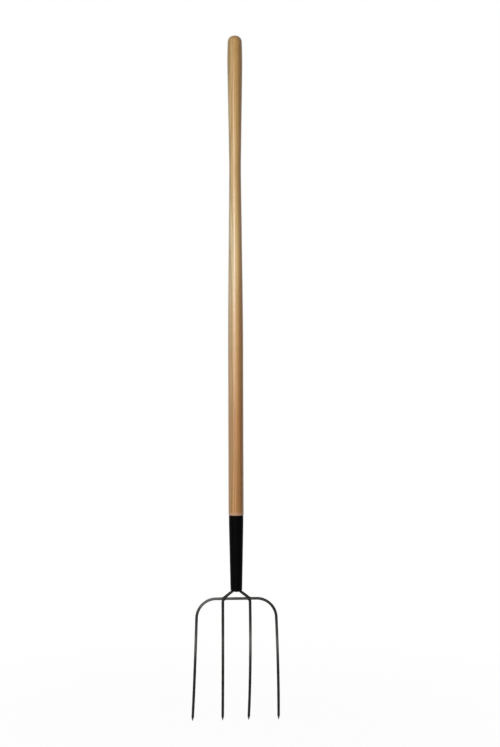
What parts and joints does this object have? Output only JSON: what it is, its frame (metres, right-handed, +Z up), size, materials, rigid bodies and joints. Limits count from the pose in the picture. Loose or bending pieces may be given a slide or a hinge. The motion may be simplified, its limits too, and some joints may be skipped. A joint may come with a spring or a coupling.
{
  "type": "manure fork",
  "caption": "Long-handled manure fork: turned ash handle with a swelled grip, black steel ferrule and a curved head of slim round tines welded to a bent bow.",
  "frame": {"origin": "on the handle's axis, at the lower end of the straight shank, just above the ferrule", "axes": "+Z up along the handle towards the grip, +X across the tines, +Y the way the points of the tines curve"},
  "size_m": [0.2248, 0.0735, 1.7252],
  "materials": {
    "ash_handle": "straight-grained ash, turned and clear varnished",
    "black_ferrule": "satin black paint on steel tube",
    "dark_steel": "dark drawn steel under clear lacquer",
    "weld_steel": "weld metal under the same lacquer"
  },
  "bodies": {
    "root": {"handle": "ash_handle", "ferrule": "black_ferrule", "left_inner_tine": "dark_steel", "right_inner_tine": "dark_steel", "outer_tine_bow": "dark_steel", "tang_rivet": "black_ferrule", "tang_weld": "weld_steel", "left_bow_weld": "weld_steel", "right_bow_weld": "weld_steel"}
  },
  "joints": []
}
